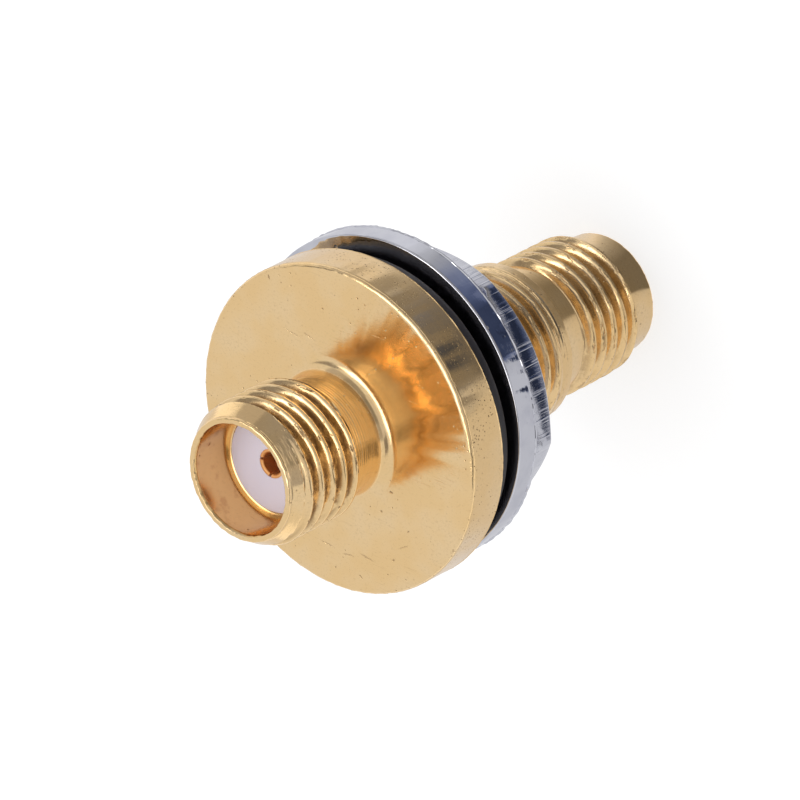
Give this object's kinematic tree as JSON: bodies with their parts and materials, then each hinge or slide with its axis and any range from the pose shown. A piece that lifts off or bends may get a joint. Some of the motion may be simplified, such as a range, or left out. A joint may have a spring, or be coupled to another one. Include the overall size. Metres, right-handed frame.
{
  "type": "coaxial bulkhead adapter",
  "caption": "Coaxial panel bulkhead adapter: a turned gold-plated body with a screw jack at either end, round flange, rubber gasket, loose washer and hexagon nut.",
  "frame": {"origin": "centre of the rim of the long end, on which the adapter stands", "axes": "+Z along the common axis towards the short, flanged end; +X through a corner of the nut"},
  "size_m": [0.0145, 0.0146, 0.0237],
  "materials": {
    "gold_plate": "polished gold plating on turned brass",
    "insulator": "white, waxy",
    "rubber": "black, smooth",
    "nickel_plate": "bright nickel plating"
  },
  "bodies": {
    "shell": {"body": "gold_plate", "dielectric_near": "insulator", "dielectric_far": "insulator", "centre_contact": "gold_plate", "gasket": "rubber"},
    "washer": {"washer": "nickel_plate"},
    "nut": {"nut": "nickel_plate"}
  },
  "joints": [
    {"name": "washer_slide", "type": "slide", "parent": "shell", "child": "washer", "axis": [0, 0, 1], "range_m": [-0.00606, 0.00026]},
    {"name": "nut_turn", "type": "hinge", "parent": "washer", "child": "nut", "pos_m": [0, 0, 0.012], "axis": [0, 0, 1], "range_deg": [-3095, 135]}
  ],
  "couplings": [
    {"joint": "nut_turn", "follows": "washer_slide", "rad_per_m": 8904.7}
  ]
}
